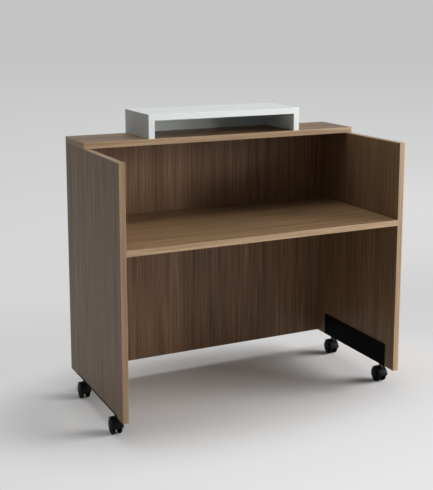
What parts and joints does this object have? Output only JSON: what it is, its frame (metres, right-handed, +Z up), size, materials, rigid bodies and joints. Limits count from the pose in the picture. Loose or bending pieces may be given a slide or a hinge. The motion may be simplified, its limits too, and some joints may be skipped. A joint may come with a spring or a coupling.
{
  "type": "presentation lectern",
  "caption": "Wide walnut-veneered lectern with open worksurface bay, raised top board, pale riser shelf, black steel foot rails and twin-wheel swivel casters.",
  "frame": {"origin": "on the floor, under the middle of the whole object's box", "axes": "+Z up, +Y from the user towards the audience, +X to the user's right along the width"},
  "size_m": [1.239, 0.6456, 1.1645],
  "materials": {
    "walnut_veneer": "matt lacquered walnut veneer, fine straight grain",
    "walnut_edge": "matt lacquered solid walnut edge band",
    "riser_lacquer": "satin lacquer, very pale mint",
    "black_steel": "satin black powder coat",
    "zinc_steel": "zinc plated",
    "caster_hood": "moulded black nylon",
    "caster_wheel": "moulded black nylon",
    "caster_tread": "soft dark tread",
    "dowel_beech": "plain beech"
  },
  "bodies": {
    "lectern": {"back_panel": "walnut_veneer", "back_panel_dowels": "dowel_beech", "cam_bolts": "zinc_steel", "cam_locks": "zinc_steel", "caster_insert_nuts": "zinc_steel", "caster_stem_clips": "zinc_steel", "front_left_caster_stem": "zinc_steel", "front_right_caster_stem": "zinc_steel", "left_panel_edge_bands": "walnut_edge", "left_rail": "black_steel", "left_side_panel": "walnut_veneer", "rail_screws": "black_steel", "rear_left_caster_stem": "zinc_steel", "rear_right_caster_stem": "zinc_steel", "right_panel_edge_bands": "walnut_edge", "right_rail": "black_steel", "right_side_panel": "walnut_veneer", "riser_back": "riser_lacquer", "riser_dowels": "dowel_beech", "riser_left_wall": "riser_lacquer", "riser_right_wall": "riser_lacquer", "riser_screws": "zinc_steel", "riser_top": "riser_lacquer", "top_board": "walnut_veneer", "top_board_dowels": "dowel_beech", "top_board_edge_bands": "walnut_edge", "worksurface": "walnut_veneer", "worksurface_dowels": "dowel_beech", "worksurface_edge_band": "walnut_edge"},
    "front_left_caster": {"front_left_caster_housing": "caster_hood", "front_left_caster_axle": "zinc_steel"},
    "front_left_outer_wheel": {"front_left_outer_wheel_hub": "caster_wheel", "front_left_outer_tyre": "caster_tread"},
    "front_left_inner_wheel": {"front_left_inner_wheel_hub": "caster_wheel", "front_left_inner_tyre": "caster_tread"},
    "front_right_caster": {"front_right_caster_housing": "caster_hood", "front_right_caster_axle": "zinc_steel"},
    "front_right_outer_wheel": {"front_right_outer_wheel_hub": "caster_wheel", "front_right_outer_tyre": "caster_tread"},
    "front_right_inner_wheel": {"front_right_inner_wheel_hub": "caster_wheel", "front_right_inner_tyre": "caster_tread"},
    "rear_left_caster": {"rear_left_caster_housing": "caster_hood", "rear_left_caster_axle": "zinc_steel"},
    "rear_left_outer_wheel": {"rear_left_outer_wheel_hub": "caster_wheel", "rear_left_outer_tyre": "caster_tread"},
    "rear_left_inner_wheel": {"rear_left_inner_wheel_hub": "caster_wheel", "rear_left_inner_tyre": "caster_tread"},
    "rear_right_caster": {"rear_right_caster_housing": "caster_hood", "rear_right_caster_axle": "zinc_steel"},
    "rear_right_outer_wheel": {"rear_right_outer_wheel_hub": "caster_wheel", "rear_right_outer_tyre": "caster_tread"},
    "rear_right_inner_wheel": {"rear_right_inner_wheel_hub": "caster_wheel", "rear_right_inner_tyre": "caster_tread"}
  },
  "joints": [
    {"name": "front_left_swivel", "type": "hinge", "parent": "lectern", "child": "front_left_caster", "pos_m": [-0.598, -0.21775, 0.055], "axis": [0, 0, 1], "continuous": true},
    {"name": "front_left_outer_spin", "type": "hinge", "parent": "front_left_caster", "child": "front_left_outer_wheel", "pos_m": [-0.598, -0.20575, 0.0315], "axis": [1, 0, 0], "continuous": true},
    {"name": "front_left_inner_spin", "type": "hinge", "parent": "front_left_caster", "child": "front_left_inner_wheel", "pos_m": [-0.598, -0.20575, 0.0315], "axis": [1, 0, 0], "continuous": true},
    {"name": "front_right_swivel", "type": "hinge", "parent": "lectern", "child": "front_right_caster", "pos_m": [0.598, -0.21775, 0.055], "axis": [0, 0, 1], "continuous": true},
    {"name": "front_right_outer_spin", "type": "hinge", "parent": "front_right_caster", "child": "front_right_outer_wheel", "pos_m": [0.598, -0.20575, 0.0315], "axis": [1, 0, 0], "continuous": true},
    {"name": "front_right_inner_spin", "type": "hinge", "parent": "front_right_caster", "child": "front_right_inner_wheel", "pos_m": [0.598, -0.20575, 0.0315], "axis": [1, 0, 0], "continuous": true},
    {"name": "rear_left_swivel", "type": "hinge", "parent": "lectern", "child": "rear_left_caster", "pos_m": [-0.598, 0.15975, 0.055], "axis": [0, 0, 1], "continuous": true},
    {"name": "rear_left_outer_spin", "type": "hinge", "parent": "rear_left_caster", "child": "rear_left_outer_wheel", "pos_m": [-0.598, 0.17175, 0.0315], "axis": [1, 0, 0], "continuous": true},
    {"name": "rear_left_inner_spin", "type": "hinge", "parent": "rear_left_caster", "child": "rear_left_inner_wheel", "pos_m": [-0.598, 0.17175, 0.0315], "axis": [1, 0, 0], "continuous": true},
    {"name": "rear_right_swivel", "type": "hinge", "parent": "lectern", "child": "rear_right_caster", "pos_m": [0.598, 0.15975, 0.055], "axis": [0, 0, 1], "continuous": true},
    {"name": "rear_right_outer_spin", "type": "hinge", "parent": "rear_right_caster", "child": "rear_right_outer_wheel", "pos_m": [0.598, 0.17175, 0.0315], "axis": [1, 0, 0], "continuous": true},
    {"name": "rear_right_inner_spin", "type": "hinge", "parent": "rear_right_caster", "child": "rear_right_inner_wheel", "pos_m": [0.598, 0.17175, 0.0315], "axis": [1, 0, 0], "continuous": true}
  ]
}
